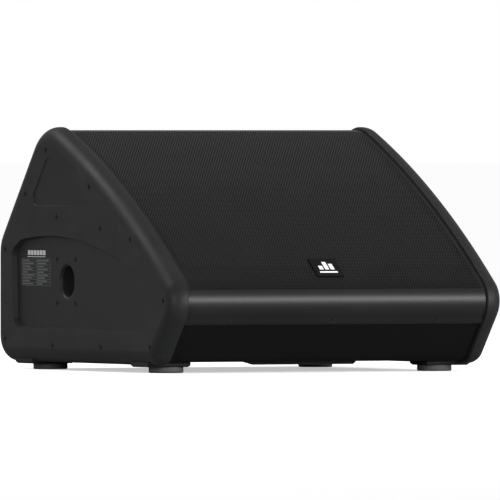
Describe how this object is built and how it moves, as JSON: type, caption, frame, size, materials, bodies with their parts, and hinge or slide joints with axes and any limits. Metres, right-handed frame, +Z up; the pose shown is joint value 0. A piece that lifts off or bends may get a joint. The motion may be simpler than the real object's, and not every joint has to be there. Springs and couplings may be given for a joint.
{
  "type": "stage monitor loudspeaker",
  "caption": "Floor wedge loudspeaker with moulded side cheeks, a curved perforated steel front over coaxial drivers, a pole socket in one cheek and an amplifier tray behind.",
  "frame": {"origin": "centre of the footprint at floor level, under the four rubber feet", "axes": "+Z up, -Y towards the listener (the nose of the wedge), +Y towards the amplifier panel, +X to the right seen from the front"},
  "size_m": [0.586, 0.657, 0.3882],
  "materials": {
    "badge": "gloss black, pale printed mark",
    "board": "birch ply in textured black paint",
    "button": "rubbery",
    "cast_basket": "black coated casting",
    "chassis": "folded sheet",
    "cheek": "moulded, fine leather grain",
    "circuit": "circuit board with parts",
    "coil": "copper winding on a former",
    "cone_paper": "coated pulp",
    "display": "smoked window",
    "foam": "open-cell foam",
    "grille": "fine textured powder coat",
    "heatsink": "black anodised",
    "hf_magnet": "ferrite and steel",
    "horn": "smooth",
    "inner_board": "raw birch ply",
    "knob": "soft touch",
    "lead": "smooth sleeve",
    "lights": "clear lens",
    "magnet": "ferrite and plated steel",
    "panel": "textured powder coat, pale print",
    "pole_cup": "glass-filled nylon",
    "rocker": "moulded",
    "rubber": "matt",
    "screw": "black oxide",
    "shaft": "turned",
    "socket": "nylon",
    "spider": "corrugated cloth",
    "surround": "doped cloth roll",
    "tab": "grey nylon",
    "tube": "smooth"
  },
  "bodies": {
    "enclosure": {"amp_board": "circuit", "amp_chassis": "chassis", "amp_heatsink": "heatsink", "amp_panel": "panel", "amp_screws": "screw", "badge": "badge", "baffle": "board", "base_screws": "screw", "bottom_panel": "board", "cabinet_brace": "inner_board", "cheek_left": "cheek", "cheek_right": "cheek", "cheek_screws": "screw", "display_window": "display", "driver_basket": "cast_basket", "driver_lead": "lead", "driver_magnet": "magnet", "driver_screws": "screw", "driver_spider": "spider", "driver_surround": "surround", "foot_front_left": "rubber", "foot_front_right": "rubber", "foot_rear_left": "rubber", "foot_rear_right": "rubber", "front_panel": "board", "grille": "grille", "grille_foam": "foam", "grille_screws": "screw", "handle_dish": "pole_cup", "handle_grip": "pole_cup", "hf_driver": "hf_magnet", "hf_horn": "horn", "input_jack_a": "socket", "input_jack_b": "socket", "mains_inlet": "socket", "nose_rail": "board", "output_jack": "socket", "pole_cup": "pole_cup", "pole_cup_screws": "screw", "port_tubes": "tube", "rear_buffers": "rubber", "rear_panel": "board", "rear_rails": "board", "rear_slope_panel": "board", "rocker_frame": "socket", "side_panel_left": "board", "side_panel_right": "board", "status_lights": "lights", "top_rail": "board"},
    "cone": {"driver_cone": "cone_paper", "voice_coil": "coil"},
    "level_a": {"level_knob_a": "knob"},
    "level_b": {"level_knob_b": "knob"},
    "push_shaft": {"encoder_shaft": "shaft"},
    "menu_knob": {"encoder_knob": "knob"},
    "button_left": {"menu_button_left": "button"},
    "button_right": {"menu_button_right": "button"},
    "release_a": {"latch_tab_a": "tab"},
    "release_b": {"latch_tab_b": "tab"},
    "mains_rocker": {"power_rocker": "rocker"}
  },
  "joints": [
    {"name": "cone_travel", "type": "slide", "parent": "enclosure", "child": "cone", "axis": [0, -0.4924, 0.8704], "range_m": [-0.006, 0.006], "stiffness_N_per_m": 4000, "deforming": ["driver_surround", "driver_spider"]},
    {"name": "level_a_turn", "type": "hinge", "parent": "enclosure", "child": "level_a", "pos_m": [0.128, 0.3075, 0.148], "axis": [0, 1, 0], "range_deg": [-150, 150]},
    {"name": "level_b_turn", "type": "hinge", "parent": "enclosure", "child": "level_b", "pos_m": [0.128, 0.3075, 0.096], "axis": [0, 1, 0], "range_deg": [-150, 150]},
    {"name": "menu_push", "type": "slide", "parent": "enclosure", "child": "push_shaft", "axis": [0, -1, 0], "range_m": [0, 0.0008], "stiffness_N_per_m": 1500},
    {"name": "menu_turn", "type": "hinge", "parent": "push_shaft", "child": "menu_knob", "pos_m": [0.086, 0.3075, 0.148], "axis": [0, 1, 0], "continuous": true},
    {"name": "button_left_push", "type": "slide", "parent": "enclosure", "child": "button_left", "axis": [0, -1, 0], "range_m": [0, 0.0008], "stiffness_N_per_m": 1500},
    {"name": "button_right_push", "type": "slide", "parent": "enclosure", "child": "button_right", "axis": [0, -1, 0], "range_m": [0, 0.0008], "stiffness_N_per_m": 1500},
    {"name": "release_a_push", "type": "slide", "parent": "enclosure", "child": "release_a", "axis": [0, -1, 0], "range_m": [0, 0.0012], "stiffness_N_per_m": 1200},
    {"name": "release_b_push", "type": "slide", "parent": "enclosure", "child": "release_b", "axis": [0, -1, 0], "range_m": [0, 0.0012], "stiffness_N_per_m": 1200},
    {"name": "mains_rocker_tilt", "type": "hinge", "parent": "enclosure", "child": "mains_rocker", "pos_m": [-0.026, 0.3055, 0.148], "axis": [1, 0, 0], "range_deg": [0, 16]}
  ]
}
